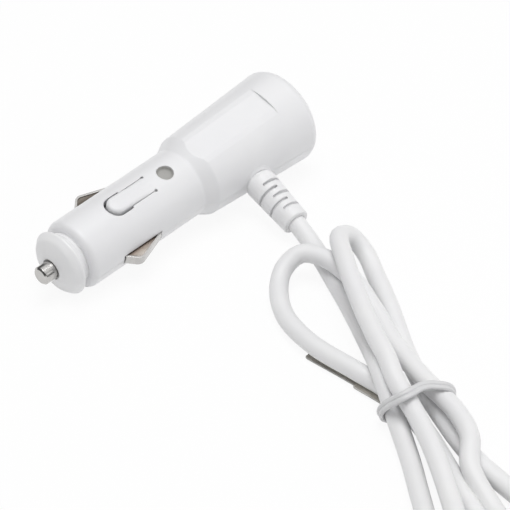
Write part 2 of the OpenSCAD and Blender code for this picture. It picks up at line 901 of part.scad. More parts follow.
// Outline with round ends, w wide and h high, standing on edge
module oval(w, h) {
    for (side = [-1, 1])
        translate([side * (w - h) / 2, 0])
            circle(d = h, $fn = 48);
    square([w - h, h], center = true);
}

// Frame of the far plug: Z runs out of the lead's end
module plug_frame() {
    translate([plug_end.x, plug_end.y, grip_h / 2])
        rotate([-90, 0, 0])
            children();
}

module plug_grip() {
    color("white")
        plug_frame()
            linear_extrude(grip_len)
                oval(grip_w, grip_h);
}

module plug_shell() {
    color("silver")
        plug_frame()
            translate([0, 0, grip_len])
                linear_extrude(nose_len)
                    difference() {
                        oval(nose_w, nose_h);
                        oval(nose_w - 0.6, nose_h - 0.6);
                    }
}

module plug_insulator() {
    color("black")
        plug_frame()
            translate([0, 0, grip_len])
                linear_extrude(nose_len - 0.5)
                    difference() {
                        oval(nose_w - 0.7, nose_h - 0.7);
                        square([5.6, 0.8], center = true);
                    }
}

upper_shell();
lower_shell();
nose_cap();
tip_contact();
fuse_glass();
fuse_caps();
fuse_wire();
tip_spring();
spring_contact();
ground_contact_far_side();
ground_contact_cord_side();
ground_straps();
circuit_board();
inductor();
input_capacitor();
output_capacitor();
driver_chip();
indicator_lamp();
lamp_window();
port_shell();
port_insulator();
port_contacts();
cord_wires();
strain_relief();
cord_lead();
cord_left_loop();
cord_right_loop();
cord_tail();
cord_hank();
cord_tie();
plug_grip();
plug_shell();
plug_insulator();
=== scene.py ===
import json
import math

import bmesh
import bpy
from mathutils import Matrix, Vector


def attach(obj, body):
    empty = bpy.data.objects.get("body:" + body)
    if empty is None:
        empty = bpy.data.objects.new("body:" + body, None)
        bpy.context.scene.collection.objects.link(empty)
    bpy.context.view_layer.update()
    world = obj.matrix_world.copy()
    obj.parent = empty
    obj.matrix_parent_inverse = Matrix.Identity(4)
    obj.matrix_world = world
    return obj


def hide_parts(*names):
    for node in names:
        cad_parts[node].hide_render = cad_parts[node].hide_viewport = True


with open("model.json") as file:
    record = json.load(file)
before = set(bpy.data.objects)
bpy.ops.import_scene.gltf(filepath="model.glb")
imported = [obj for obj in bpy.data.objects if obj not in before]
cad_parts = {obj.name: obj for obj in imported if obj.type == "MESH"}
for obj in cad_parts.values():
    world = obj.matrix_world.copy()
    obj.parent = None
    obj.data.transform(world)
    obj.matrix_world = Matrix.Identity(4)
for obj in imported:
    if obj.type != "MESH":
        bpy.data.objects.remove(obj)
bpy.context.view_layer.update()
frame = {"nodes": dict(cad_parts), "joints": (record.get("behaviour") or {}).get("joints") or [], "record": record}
cadNodes = frame["nodes"]
mm = 0.001
print("frame loaded")

scene = bpy.context.scene
scene.view_settings.view_transform = "Standard"

# camera at the photo's viewing angle, places in millimetres
cameraSetup = {
    "place": (-457.3, -484.6, 540.2),
    "target": (-0.57, -35.72, 10.0),
    "lens": 211.76,  # a long lens from well back, as product shots use
    "sensor": 36.0,
}


def aim(obj, place, target):
    here, there = Vector(place) * mm, Vector(target) * mm
    obj.location = here
    obj.rotation_euler = (there - here).to_track_quat("-Z", "Y").to_euler()


cameraData = bpy.data.cameras.new("camera")
cameraData.sensor_width = cameraSetup["sensor"]
cameraData.lens = cameraSetup["lens"]
camera = bpy.data.objects.new("camera", cameraData)
scene.collection.objects.link(camera)
aim(camera, cameraSetup["place"], cameraSetup["target"])
scene.camera = camera
print("camera set")

# the lead, one length from the housing to the far plug, in millimetres
lead = {
    "diameter": 5.4,
    "length": 900,
    "exit": (24.0, -13.0, 10.0),
    "step": 1.6,  # spacing of the points along the smooth line
    "roundness": 6,  # bevel resolution of the tube
    "route": {  # the points of the cord nodes, stretch by stretch
        "fromHousing": [
            (24.4, -8.2, 11.3), (23.1, -19.2, 8.4), (21.7, -30.2, 5.5), (19, -40.5, 3),
            (12.8, -54, 2.7), (6, -67.5, 2.7), (-1.5, -80, 4.2), (-10.4, -92.2, 8.3), (-17, -103.6, 4.2)],
        "firstFold": [
            (-25, -116, 2.7), (-34, -128, 2.7), (-43, -140.5, 2.7), (-49.5, -153.5, 2.7),
            (-56, -167, 2.7), (-59.5, -178.5, 2.7), (-58, -184.5, 2.7), (-52.5, -187.5, 2.7),
            (-47, -185.5, 2.7), (-44, -180.5, 2.7), (-39.5, -167, 2.7), (-34, -153, 2.7),
            (-27.5, -139.5, 2.7), (-21, -126, 2.7)],
        "leftLoop": [
            (-15, -112.5, 3), (-10, -96, 2.9), (-10.5, -83.5, 3.3), (-11, -68, 3.3), (-7, -53.5, 2.7),
            (0.5, -44, 3.5), (5.5, -41.5, 5.5), (10.5, -42.5, 7.8), (13.5, -48, 8.2), (13.5, -59, 7.2),
            (8.5, -72.5, 6.5), (1.5, -86, 7.3), (-4, -101, 8.2), (-8, -116.5, 8.5)],
        "secondFold": [
            (-12.5, -125.5, 8.2), (-19.5, -132, 6.3), (-24.5, -145, 2.7), (-30, -158.5, 2.7),
            (-35, -172.5, 2.7), (-37, -184, 2.7), (-34.5, -189.5, 2.7), (-29.5, -192, 2.7),
            (-24, -190.5, 2.7), (-20.5, -185.5, 2.7), (-17.5, -171, 2.7), (-17, -156, 2.7),
            (-15.5, -141, 2.7), (-13, -126.5, 2.7)],
        "rightLoop": [
            (-8, -112.5, 3), (-1.5, -99, 2.7), (6, -86, 2.7), (14.5, -73.5, 2.7), (22.5, -60.5, 2.7),
            (26.5, -52.5, 4.5), (25.5, -48, 8.5), (20, -48.5, 12), (12.5, -57.5, 13.3), (4, -70.5, 12.5),
            (-4.5, -84.5, 12.8), (-8.8, -92.8, 12.7), (-12.3, -99.3, 11)],
        "lastRun": [(-17, -111, 9), (-23.5, -123, 8.2), (-32, -136, 7), (-41, -147.5, 7.5)],
        "tail": [
            (-50, -154.5, 8.5), (-59, -161.5, 5.8), (-67, -166, 2.7), (-73.5, -168, 2.7),
            (-79.5, -166.5, 2.7), (-84, -162, 2.7), (-85.5, -156, 2.7), (-85.5, -148, 2.7)],
    },
}


def blendKnots(a, b, start, end, t):
    return a.lerp(b, (t - start) / (end - start))


def smoothLine(points, step):
    # centripetal curve through every point, sampled about one step apart
    knots = [Vector(p) for p in points]
    knots = [2 * knots[0] - knots[1]] + knots + [2 * knots[-1] - knots[-2]]
    line = []
    for i in range(1, len(knots) - 2):
        p = knots[i - 1:i + 3]
        t = [0.0]
        for a, b in zip(p, p[1:]):
            t.append(t[-1] + math.sqrt((b - a).length))
        count = max(2, round((p[2] - p[1]).length / step))
        for k in range(count):
            u = t[1] + (t[2] - t[1]) * k / count
            a = [blendKnots(p[j], p[j + 1], t[j], t[j + 1], u) for j in range(3)]
            b = [blendKnots(a[j], a[j + 1], t[j], t[j + 2], u) for j in range(2)]
            line.append(blendKnots(b[0], b[1], t[1], t[2], u))
    return line + [knots[-2]]


def curvePiece(name, line, radius, resolution):
    data = bpy.data.curves.new(name, "CURVE")
    data.dimensions = "3D"
    spline = data.splines.new("POLY")
    spline.points.add(len(line) - 1)
    for point, place in zip(spline.points, line):
        point.co = (*(place * mm), 1)
    spline.use_smooth = True
    data.bevel_depth = radius * mm
    data.bevel_resolution = resolution
    data.use_fill_caps = True
    obj = bpy.data.objects.new(name, data)
    scene.collection.objects.link(obj)
    return obj


leadLine = smoothLine([p for stretch in lead["route"].values() for p in stretch], lead["step"])
for p in leadLine:
    p.z = max(p.z, lead["diameter"] / 2)  # the curve may dip below its points
leadPiece = curvePiece("chargingLead", leadLine, lead["diameter"] / 2, lead["roundness"])
print("lead laid,", len(leadLine), "points")

# the coated tie, wound twice round the folded lead
tie = {
    "at": (-10.6, -106.2),
    "turn": -32.8,
    "reach": 15,  # how far to both sides it takes in runs of the lead
    "width": 1.7,
    "thickness": 1.3,
    "offFloor": 0.02,
    # each turn's shift along the lead at its left and right end, its clearance to the lead, and the
    # places where it stands off or slides along the lead, as [angle, amount, spread]
    "turns": [
        {"shift": (0.78, 0.45), "hug": 0.3, "loose": [(14, 0.35, 34), (188, 0.3, 40)],
         "slide": [(128, -4.0, 33), (30, -1.0, 30), (270, 5.5, 50)]},
        {"shift": (-0.78, -0.75), "hug": 0.15, "loose": [(10, 0.15, 30), (190, 0.3, 40)],
         "slide": [(128, -4.1, 33), (30, -1.0, 30), (270, 5.5, 50)]}],
    "points": 128,  # along one turn
    "ease": 14,  # how often a turn is smoothed
}
tieFrame = Matrix.Translation((*tie["at"], 0)) @ Matrix.Rotation(math.radians(tie["turn"]), 4, "Z")


def hullAround(circles, radius):
    # outline of a band pulled tight round equal circles
    steps = 48
    points = []
    for x, z in circles:
        for k in range(steps):
            angle = 2 * math.pi * k / steps
            points.append((x + radius * math.cos(angle), z + radius * math.sin(angle)))
    points.sort()

    def half(ordered):
        chain = []
        for p in ordered:
            while len(chain) > 1 and ((chain[-1][0] - chain[-2][0]) * (p[1] - chain[-2][1])
                                      - (chain[-1][1] - chain[-2][1]) * (p[0] - chain[-2][0])) <= 0:
                chain.pop()
            chain.append(p)
        return chain[:-1]

    return half(points) + half(points[::-1])


def evenly(loop, count):
    # points at equal distances along a closed loop
    points = [Vector(p) for p in loop]
    points.append(points[0])
    lengths = [0.0]
    for a, b in zip(points, points[1:]):
        lengths.append(lengths[-1] + (b - a).length)
    out = []
    j = 0
    for k in range(count):
        want = lengths[-1] * k / count
        while j < len(points) - 2 and lengths[j + 1] < want:
            j += 1
        share = (want - lengths[j]) / max(lengths[j + 1] - lengths[j], 1e-9)
        out.append(points[j].lerp(points[j + 1], min(max(share, 0), 1)))
    return out


def roundSection(width, thickness, sides=12):
    # an oval strand, as [across, out] pairs
    angles = [2 * math.pi * k / sides for k in range(sides)]
    return [(width / 2 * math.cos(angle), thickness / 2 * math.sin(angle)) for angle in angles]


def meshPiece(name, points, faces, smooth=True):
    data = bpy.data.meshes.new(name)
    data.from_pydata([Vector(p) * mm for p in points], [], faces)
    data.validate()
    if smooth:
        work = bmesh.new()
        work.from_mesh(data)
        bmesh.ops.recalc_face_normals(work, faces=work.faces)
        work.to_mesh(data)
        work.free()
        data.polygons.foreach_set("use_smooth", [True] * len(data.polygons))
    obj = bpy.data.objects.new(name, data)
    scene.collection.objects.link(obj)
    return obj


def sweepFaces(rings, sides, closed):
    # skin over rings of points, with end caps where the sweep isn't closed
    faces = []
    for i in range(rings if closed else rings - 1):
        j = (i + 1) % rings
        for k in range(sides):
            m = (k + 1) % sides
            faces.append((i * sides + k, i * sides + m, j * sides + m, j * sides + k))
    if not closed:
        faces.append(tuple(range(sides))[::-1])
        faces.append(tuple((rings - 1) * sides + k for k in range(sides)))
    return faces


def crossings():
    # where the lead passes the tie's plane, as [across, up] pairs
    inside = tieFrame.inverted()
    line = [inside @ p for p in leadLine]
    found = []
    for p, q in zip(line, line[1:]):
        if p.y * q.y < 0 and abs(p.x) < tie["reach"]:
            hit = p.lerp(q, p.y / (p.y - q.y))
            found.append((hit.x, hit.z))
    return found


def bumpsAt(angle, places):
    # sum of soft bumps round a turn, angles in degrees
    total = 0.0
    for place, amount, spread in places:
        off = (angle - place + 180) % 360 - 180
        total += amount * math.exp(-(off / spread) ** 2)
    return total


def tieTurn(spec):
    half = tie["thickness"] / 2
    loop = evenly(hullAround(crossings(), lead["diameter"] / 2 + spec["hug"] + half), tie["points"])
    centre = sum(loop, Vector((0, 0))) / len(loop)
    left, right = min(p.x for p in loop), max(p.x for p in loop)
    atLeft, atRight = spec["shift"]
    track = []  # across, along and up in the tie's frame
    for i, p in enumerate(loop):
        ahead = loop[(i + 2) % len(loop)] - loop[i - 2]
        angle = math.degrees(math.atan2(p.y - centre.y, p.x - centre.x))
        q = p + Vector((ahead.y, -ahead.x)).normalized() * bumpsAt(angle, spec["loose"])
        share = (p.x - left) / (right - left)
        shift = atLeft * (1 - share) + atRight * share + bumpsAt(angle, spec["slide"])
        track.append(Vector((q.x, shift, q.y)))
    for _ in range(tie["ease"]):
        track = [(track[i - 1] + 2 * p + track[(i + 1) % len(track)]) / 4 for i, p in enumerate(track)]
    section = roundSection(tie["width"], tie["thickness"])
    points = []
    for i, p in enumerate(track):
        ahead = track[(i + 1) % len(track)] - track[i - 1]
        out = Vector((ahead.z, 0, -ahead.x)).normalized()
        side = ahead.cross(out).normalized()
        for across, rise in section:
            q = p + out * rise - side * across
            q.z = max(q.z, rise + half + tie["offFloor"])
            points.append(tieFrame @ q)
    return points, sweepFaces(len(track), len(section), True)


looseEnds = {  # the tie's two flat ends, lying under the left loop
    "strips": [
        {"from": (-11.45, -86.4), "to": (-12.5, -67.4), "width": 2.7, "lift": 0.02},
        {"from": (-11.95, -97.0), "to": (-12.25, -85.0), "width": 3.2, "lift": 0.44}],
    "thickness": 0.4,
    "rim": 0.55,  # width of the coating that stands up along both edges
    "tip": 1.3,  # length of the rounded ends
    "tipShare": 0.35,  # what is left of the width at the very end
    "waver": 0.12,  # how far a strip strays from its straight line
    "rings": 41,
    "plainEndRings": 2,  # rings at each end whose core keeps the rims' finish
}


def stripSection(width):
    # a flat strip with raised rims, as [across, out] pairs
    w, t = width / 2, looseEnds["thickness"] / 2
    bevel, core = 0.8 * t, 0.45 * t
    foot, top = looseEnds["rim"], 0.7 * looseEnds["rim"]
    return [(-w, -t + bevel), (-w, t - bevel), (-w + bevel, t), (-w + top, t), (-w + foot, core),
            (w - foot, core), (w - top, t), (w - bevel, t), (w, t - bevel), (w, -t + bevel),
            (w - bevel, -t), (-w + bevel, -t)]


stripSides = 12
stripCore = 4  # the side of the section between the two rims


def looseEnd(spec):
    a, b = Vector(spec["from"]), Vector(spec["to"])
    along = (b - a).normalized()
    side = Vector((along.y, -along.x))
    rings, tipShare = looseEnds["rings"], looseEnds["tipShare"]
    points = []
    for i in range(rings):
        t = (1 - math.cos(math.pi * i / (rings - 1))) / 2  # closer together at the ends
        fromTip = min(min(t, 1 - t) * (b - a).length / looseEnds["tip"], 1)
        narrow = tipShare + (1 - tipShare) * math.sqrt(1 - (1 - fromTip) ** 2)
        stray = looseEnds["waver"] * math.sin(3 * t + 1)
        for across, rise in stripSection(spec["width"]):
            q = a.lerp(b, t) + side * (across * narrow + stray)
            points.append((q.x, q.y, looseEnds["thickness"] / 2 + spec["lift"] + rise))
    return points, sweepFaces(rings, stripSides, False)


def joined(parts):
    points, faces = [], []
    for morePoints, moreFaces in parts:
        start = len(points)
        points += morePoints
        faces += [tuple(start + k for k in face) for face in moreFaces]
    return points, faces


def coreFaces(firstFace, strips):
    # numbers of the faces that show the strips' core
    found = []
    for _, faces in strips:
        for ring in range(looseEnds["plainEndRings"], looseEnds["rings"] - 1 - looseEnds["plainEndRings"]):
            found.append(firstFace + ring * stripSides + stripCore)
        firstFace += len(faces)
    return found


tieTurns = [tieTurn(spec) for spec in tie["turns"]]
tieStrips = [looseEnd(spec) for spec in looseEnds["strips"]]
tiePiece = meshPiece("leadTie", *joined(tieTurns + tieStrips))
firstStripFace = sum(len(faces) for _, faces in tieTurns)
print("tie wound")

# small pieces on the plug, in millimetres in its own frame: x from tip to head, y to the far side and
# z through the tongue
farPivot = (35.2, 9.05)  # where the far contact turns


def makePlugFrame():
    joints = {joint["name"]: joint for joint in frame["joints"]}
    along = Vector(joints["tip_press"]["axis"])
    up = Vector(joints["far_contact_press"]["axis"])
    across = up.cross(along)
    pivot = Vector(joints["far_contact_press"]["pos_m"]) / mm
    place = pivot - along * farPivot[0] - across * farPivot[1]
    return Matrix.Translation(place) @ Matrix((along, across, up)).transposed().to_4x4()


plugFrame = makePlugFrame()

web = {  # pressed metal floor between a side contact's leaf and the barrel
    "leaf": [(34.6, 10.82), (26.0, 13.6), (23.15, 10.6)],  # middle of the leaf, rear end to foot
    "round": 2.2,
    "steps": (8, 8, 4),  # along the leaf, round its corner and along its foot
    "inner": 9.5,
    "top": 1.25,  # just below the leaf's upper edge
    "dish": 0.12,
    "thickness": 0.35,
    "columns": 6,
}


def roundedCorner(a, b, c, radius, count):
    # points of the arc that rounds corner b of the line a, b, c
    u, v = (a - b).normalized(), (c - b).normalized()
    half = u.angle(v) / 2
    middle = b + (u + v).normalized() * radius / math.sin(half)
    start = b + u * radius / math.tan(half) - middle
    end = b + v * radius / math.tan(half) - middle
    turn = start.angle_signed(end)
    return [middle + Matrix.Rotation(-turn * k / count, 2) @ start for k in range(count + 1)]


def webLine():
    rear, corner, foot = (Vector(p) for p in web["leaf"])
    alongLeaf, roundCorner, alongFoot = web["steps"]
    arc = roundedCorner(rear, corner, foot, web["round"], roundCorner)
    return ([rear.lerp(arc[0], k / alongLeaf) for k in range(alongLeaf)] + arc
            + [arc[-1].lerp(foot, k / alongFoot) for k in range(1, alongFoot + 1)])


def webMesh(side):
    line = webLine()
    columns = web["columns"]
    points = []
    for p in line:
        inner = Vector((p.x, web["inner"]))
        for k in range(columns + 1):  # upper face, dished towards the barrel
            q = p.lerp(inner, k / columns)
            hollow = web["dish"] * math.sin(math.pi * min(2 * k / columns, 1) / 2)
            points.append(plugFrame @ Vector((q.x, side * q.y, web["top"] - hollow)))
        for k in range(columns, -1, -1):
            q = p.lerp(inner, k / columns)
            low = web["top"] - web["dish"] - web["thickness"]
            points.append(plugFrame @ Vector((q.x, side * q.y, low)))
    return points, sweepFaces(len(line), 2 * (columns + 1), False)


lens = {  # grey window with a thin lining up the wall of its hole
    "at": 46.2,
    "profile": [  # radius and height
        (0.3, 7.36), (3.0, 7.36), (3.0, 7.95), (2.44, 7.95), (2.44, 9.98), (2.38, 10.05), (2.3, 9.98),
        (2.26, 9.7), (2.1, 9.38), (1.8, 9.2), (1.3, 9.12), (0.3, 9.12)],
    "sides": 64,
}


def lensMesh():
    points = []
    for radius, height in lens["profile"]:
        for k in range(lens["sides"]):
            angle = 2 * math.pi * k / lens["sides"]
            points.append(plugFrame @ Vector((
                lens["at"] + radius * math.cos(angle), radius * math.sin(angle), height)))
    return points, sweepFaces(len(lens["profile"]), lens["sides"], False)


root = {  # the head's plastic, drawn up a little to the strain relief
    "at": 74.0,
    "lean": 7.5,
    "head": (57.7, 12.5, 0.0557),  # station and radius of the head's front, slope of its side
    "profile": [  # distance from the relief's axis and height over the head's skin
        (3.6, -0.45), (3.6, 0.4), (4.05, 0.36), (4.2, 0.2), (4.35, 0.1), (4.6, 0.045), (4.85, 0.02),
        (5.0, -0.04), (5.0, -0.45)],
    "rings": 96,
    "walks": 30,  # steps taken to find the skin
}


def reachSkin(foot, along):
    # distance from a point to the head's skin, found by walking out
    start, radius, slope = root["head"]
    reach = 0.0
    for _ in range(root["walks"]):
        q = foot + along * reach
        reach += radius + (q.x - start) * slope - math.hypot(q.y, q.z)
    return reach


def rootMesh():
    lean = math.radians(-90 - root["lean"])
    along = Vector((math.cos(lean), math.sin(lean), 0))
    across = Vector((-along.y, along.x, 0))
    up = Vector((0, 0, 1))
    points = []
    for k in range(root["rings"]):
        angle = 2 * math.pi * k / root["rings"]
        for out, height in root["profile"]:
            foot = Vector((root["at"], 0, 0)) + (across * math.cos(angle) + up * math.sin(angle)) * out
            points.append(plugFrame @ (foot + along * (reachSkin(foot, along) + height)))
    return points, sweepFaces(root["rings"], len(root["profile"]), True)


farWeb = meshPiece("farContactWeb", *webMesh(1))
cordWeb = meshPiece("cordContactWeb", *webMesh(-1))
lampLens = meshPiece("lampLens", *lensMesh())
reliefRoot = meshPiece("reliefRoot", *rootMesh())
print("small pieces made")


def addNode(tree, kind, inputs=None, **settings):
    # inputs are the sockets' own values, settings the node's
    node = tree.nodes.new("ShaderNode" + kind)
    for key, value in settings.items():
        setattr(node, key, value)
    for key, value in (inputs or {}).items():
        node.inputs[key].default_value = value
    return node


def wire(tree, source, target, output=0, into=0):
    tree.links.new(source.outputs[output], target.inputs[into])


def newGroup(name, inputs, outputs):
    group = bpy.data.node_groups.new(name, "ShaderNodeTree")
    for label, value in inputs.items():
        socket = group.interface.new_socket(name=label, in_out="INPUT", socket_type="NodeSocketFloat")
        socket.default_value = value
    for label, kind in outputs.items():
        group.interface.new_socket(name=label, in_out="OUTPUT", socket_type="NodeSocket" + kind)
    return group, group.nodes.new("NodeGroupInput"), group.nodes.new("NodeGroupOutput")


# fine skin of a moulded plastic: a tone mask, a roughness and a height, sizes in millimetres
def makeMouldedSkin():
    group, given, result = newGroup(
        "mouldedSkin",
        {"Grain Size": 0.25, "Roughness": 0.4, "Roughness Spread": 0.06, "Flow Size": 14.0},
        {"Tone": "Float", "Roughness": "Float", "Height": "Float"})
    place = addNode(group, "TexCoord")

    def scaleFor(label):
        divide = addNode(group, "Math", {0: 1 / mm}, operation="DIVIDE")
        wire(group, given, divide, label, 1)
        return divide

    grain = addNode(group, "TexNoise", {"Detail": 3.0, "Roughness": 0.6})
    wire(group, place, grain, "Object", "Vector")
    wire(group, scaleFor("Grain Size"), grain, 0, "Scale")
    flow = addNode(group, "TexNoise", {"Detail": 4.0, "Roughness": 0.5, "Distortion": 0.6})
    wire(group, place, flow, "Object", "Vector")
    wire(group, scaleFor("Flow Size"), flow, 0, "Scale")
    toneRange = addNode(group, "MapRange", {"From Min": 0.3, "From Max": 0.7})
    wire(group, flow, toneRange, 0, "Value")
    wire(group, toneRange, result, 0, "Tone")
    offset = addNode(group, "Math", {1: -0.5}, operation="ADD")
    wire(group, flow, offset)
    spread = addNode(group, "Math", operation="MULTIPLY")
    wire(group, offset, spread)
    wire(group, given, spread, "Roughness Spread", 1)
    rough = addNode(group, "Math", operation="ADD", use_clamp=True)
    wire(group, spread, rough)
    wire(group, given, rough, "Roughness", 1)
    wire(group, rough, result, 0, "Roughness")
    wire(group, grain, result, 0, "Height")
    return group


# rounded normal for soft edges, and a mask along edges found by comparing the rounded normal with the true one;
# the finishes use the mask to paint a highlight line along edges
def makeSoftEdges():
    group, given, result = newGroup(
        "softEdges", {"Radius": 0.3}, {"Normal": "Vector", "Edge": "Float"})
    size = addNode(group, "Math", {1: mm}, operation="MULTIPLY")
    wire(group, given, size, "Radius")
    bevel = addNode(group, "Bevel", samples=6)
    wire(group, size, bevel, 0, "Radius")
    wire(group, bevel, result, 0, "Normal")
    unrounded = addNode(group, "NewGeometry")
    dot = addNode(group, "VectorMath", operation="DOT_PRODUCT")
    wire(group, bevel, dot, 0, 0)
    wire(group, unrounded, dot, "Normal", 1)
    edge = addNode(group, "MapRange", {"From Min": 0.995, "From Max": 0.8})
    wire(group, dot, edge, "Value", "Value")
    wire(group, edge, result, 0, "Edge")
    return group


# sparse specks of dust and moulding char, as a mask
def makeSpecks():
    group, given, result = newGroup("specks", {"Spacing": 9.0, "Speck Size": 0.04}, {"Mask": "Float"})
    place = addNode(group, "TexCoord")
    divide = addNode(group, "Math", {0: 1 / mm}, operation="DIVIDE")
    wire(group, given, divide, "Spacing", 1)
    cells = addNode(group, "TexVoronoi", {"Randomness": 1.0})
    wire(group, place, cells, "Object", "Vector")
    wire(group, divide, cells, 0, "Scale")
    near = addNode(group, "Math", operation="LESS_THAN")
    wire(group, cells, near, "Distance")
    wire(group, given, near, "Speck Size", 1)
    wire(group, near, result, 0, "Mask")
    return group


# painted shade, darkest near the barrel, that fades out with the distance from the plug's middle plane, both given
# in millimetres
def makePaintedShade():
    group, given, result = newGroup("paintedShade", {"Near": 10.0, "Far": 13.0}, {"Mask": "Float"})
    place = addNode(group, "TexCoord")
    parts = addNode(group, "SeparateXYZ")
    wire(group, place, parts, "Object")
    away = addNode(group, "Math", operation="ABSOLUTE")
    wire(group, parts, away, "Y")
    millimetres = addNode(group, "Math", {1: mm}, operation="DIVIDE")
    wire(group, away, millimetres)
    mask = addNode(group, "MapRange")
    wire(group, millimetres, mask, 0, "Value")
    wire(group, given, mask, "Near", "From Min")
    wire(group, given, mask, "Far", "From Max")
    wire(group, mask, result, 0, "Mask")
    return group


mouldedSkin = makeMouldedSkin()
softEdges = makeSoftEdges()
specks = makeSpecks()
paintedShade = makePaintedShade()


def newMaterial(name, settings):
    material = bpy.data.materials.new(name)
    material.use_nodes = True
    tree = material.node_tree
    tree.nodes.clear()
    shader = addNode(tree, "BsdfPrincipled", settings)
    output = addNode(tree, "OutputMaterial")
    wire(tree, shader, output)
    return material, tree, shader


def placeGroup(tree, group, values=None):
    node = tree.nodes.new("ShaderNodeGroup")
    node.node_tree = group
    for key, value in (values or {}).items():
        node.inputs[key].default_value = value
    return node


mixInputs, mixOutput = (6, 7), 2  # the colour sockets of a mix node


def mixColours(tree, factor, output, first, second):
    # a colour is three numbers or another mix node
    mix = addNode(tree, "Mix", data_type="RGBA")
    wire(tree, factor, mix, output, 0)
    for index, value in zip(mixInputs, (first, second)):
        if isinstance(value, bpy.types.Node):
            wire(tree, value, mix, mixOutput, index)
        else:
            mix.inputs[index].default_value = (*value, 1)
    return mix


# what plastics and metals share: their skin, softened edges and bump
def newFinish(name, settings, look, bumpDepth):
    material, tree, shader = newMaterial(name, settings)
    skin = placeGroup(tree, mouldedSkin, {
        "Grain Size": look["grain"], "Roughness": look["roughness"],
        "Roughness Spread": look["spread"], "Flow Size": look["flow"]})
    edges = placeGroup(tree, softEdges, {"Radius": look["edge"]})
    tone = mixColours(tree, skin, "Tone", look["colour"], look["tone"])
    # painted highlight: a lighter colour along edges, where rounded edges would catch the light (darker on the
    # glass)
    colour = mixColours(tree, edges, "Edge", tone, look["paintedEdgeColour"])
    wire(tree, skin, shader, "Roughness", "Roughness")
    bump = addNode(tree, "Bump", {"Strength": look["bump"], "Distance": bumpDepth * mm})
    wire(tree, skin, bump, "Height", "Height")
    wire(tree, edges, bump, "Normal", "Normal")
    wire(tree, bump, shader, 0, "Normal")
    return material, tree, shader, colour


def plastic(name, look):
    settings = {"IOR": 1.47, "Transmission Weight": look.get("transmission", 0.0)}
    material, tree, shader, colour = newFinish(name, settings, look, bumpDepth=0.02)
    spacing, size, speckColour = look["specks"]
    dots = placeGroup(tree, specks, {"Spacing": spacing, "Speck Size": size})
    colour = mixColours(tree, dots, "Mask", colour, speckColour)
    wire(tree, colour, shader, mixOutput, "Base Color")
    return material


def metal(name, look):
    material, tree, shader, colour = newFinish(name, {"Metallic": 1.0}, look, bumpDepth=0.01)
    # painted shade: the colour darkens towards the barrel, where shade falls between leaf and barrel
    if "paintedShade" in look:
        near, far, shadeColour = look["paintedShade"]
        shade = placeGroup(tree, paintedShade, {"Near": near, "Far": far})
        colour = mixColours(tree, shade, "Mask", shadeColour, colour)
    wire(tree, colour, shader, mixOutput, "Base Color")
    return material


